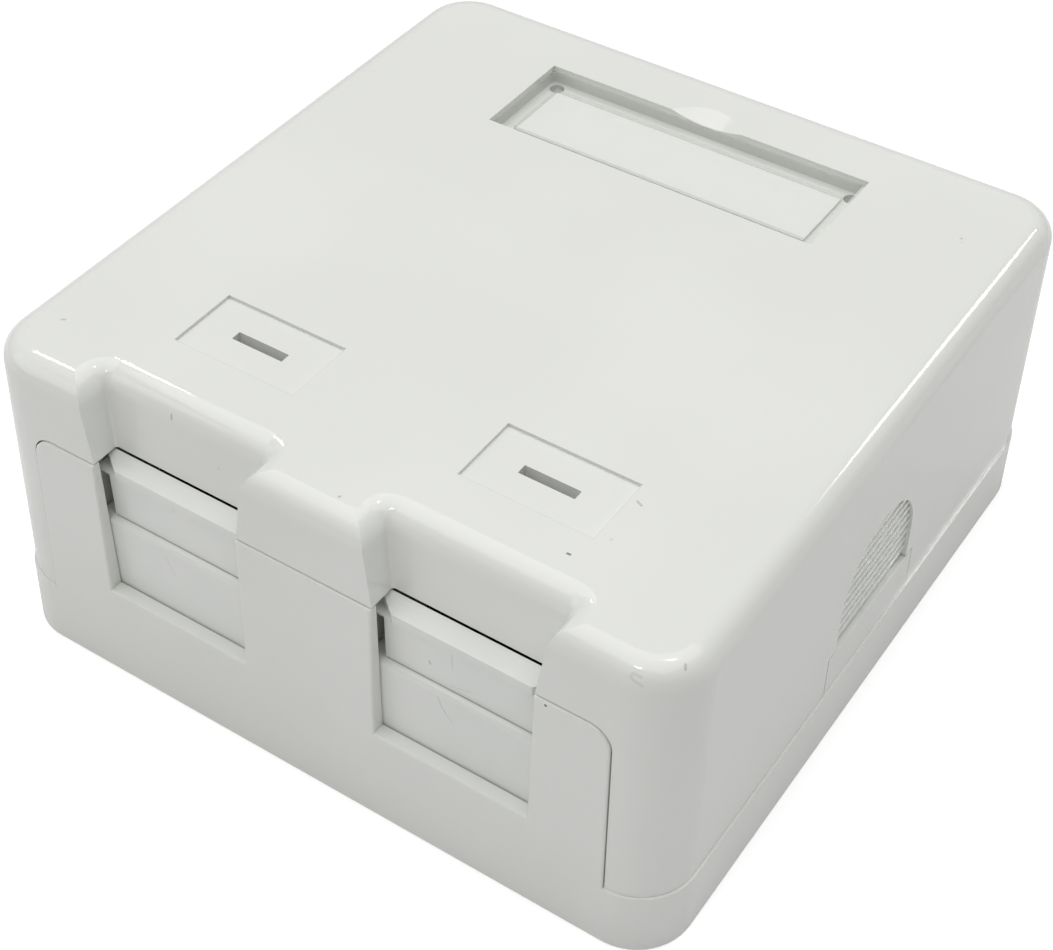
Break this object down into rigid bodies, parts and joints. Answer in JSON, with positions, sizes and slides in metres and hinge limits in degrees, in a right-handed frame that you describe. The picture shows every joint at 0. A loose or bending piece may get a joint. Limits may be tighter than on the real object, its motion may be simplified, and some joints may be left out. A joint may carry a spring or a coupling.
{
  "type": "ethernet socket",
  "caption": "Surface-mounted data outlet box with shuttered modular jacks, finger scoops, icon recesses, a label window and side knock-outs.",
  "frame": {"origin": "centre of the flat bottom face that lies on the wall or desk", "axes": "+Z out of the wall through the labelled cover, -Y out of the plug openings, +X to the right along the front"},
  "size_m": [0.065, 0.0672, 0.0302],
  "materials": {
    "base_plastic": "moulded warm-white ABS, smooth gloss",
    "cover_plastic": "moulded warm-white ABS, smooth gloss",
    "shutter_plastic": "moulded white ABS, satin gloss",
    "window_plastic": "clear moulded styrene",
    "card_paper": "plain matt paper",
    "spring_steel": "drawn spring wire",
    "jack_plastic": "black moulded plastic",
    "carrier_plastic": "black moulded plastic",
    "gold_contact": "gold-plated phosphor bronze",
    "board_laminate": "green solder mask on laminate",
    "block_plastic": "natural moulded plastic",
    "blade_metal": "tin-plated bronze",
    "cap_plastic": "dark moulded plastic"
  },
  "bodies": {
    "base": {"base": "base_plastic", "left_shutter_spring": "spring_steel", "left_jack_housing": "jack_plastic", "left_contact_carrier": "carrier_plastic", "left_jack_contacts": "gold_contact", "left_circuit_board": "board_laminate", "left_wire_block": "block_plastic", "left_wire_blades": "blade_metal", "left_wire_cap": "cap_plastic", "right_shutter_spring": "spring_steel", "right_jack_housing": "jack_plastic", "right_contact_carrier": "carrier_plastic", "right_jack_contacts": "gold_contact", "right_circuit_board": "board_laminate", "right_wire_block": "block_plastic", "right_wire_blades": "blade_metal", "right_wire_cap": "cap_plastic"},
    "left_shutter": {"left_shutter": "shutter_plastic"},
    "right_shutter": {"right_shutter": "shutter_plastic"},
    "cover": {"cover": "cover_plastic", "label_card": "card_paper"},
    "label_window": {"label_window": "window_plastic"}
  },
  "joints": [
    {"name": "left_shutter_slide", "type": "slide", "parent": "base", "child": "left_shutter", "axis": [0, 0, -1], "range_m": [0, 0.0084], "stiffness_N_per_m": 60, "springref_m": -0.008, "deforming": ["left_shutter_spring"]},
    {"name": "right_shutter_slide", "type": "slide", "parent": "base", "child": "right_shutter", "axis": [0, 0, -1], "range_m": [0, 0.0084], "stiffness_N_per_m": 60, "springref_m": -0.008, "deforming": ["right_shutter_spring"]},
    {"name": "cover_lift", "type": "slide", "parent": "base", "child": "cover", "axis": [0, 0, 1], "range_m": [0, 0.03]},
    {"name": "window_lift", "type": "slide", "parent": "cover", "child": "label_window", "axis": [0, 0, 1], "range_m": [0, 0.006]}
  ]
}
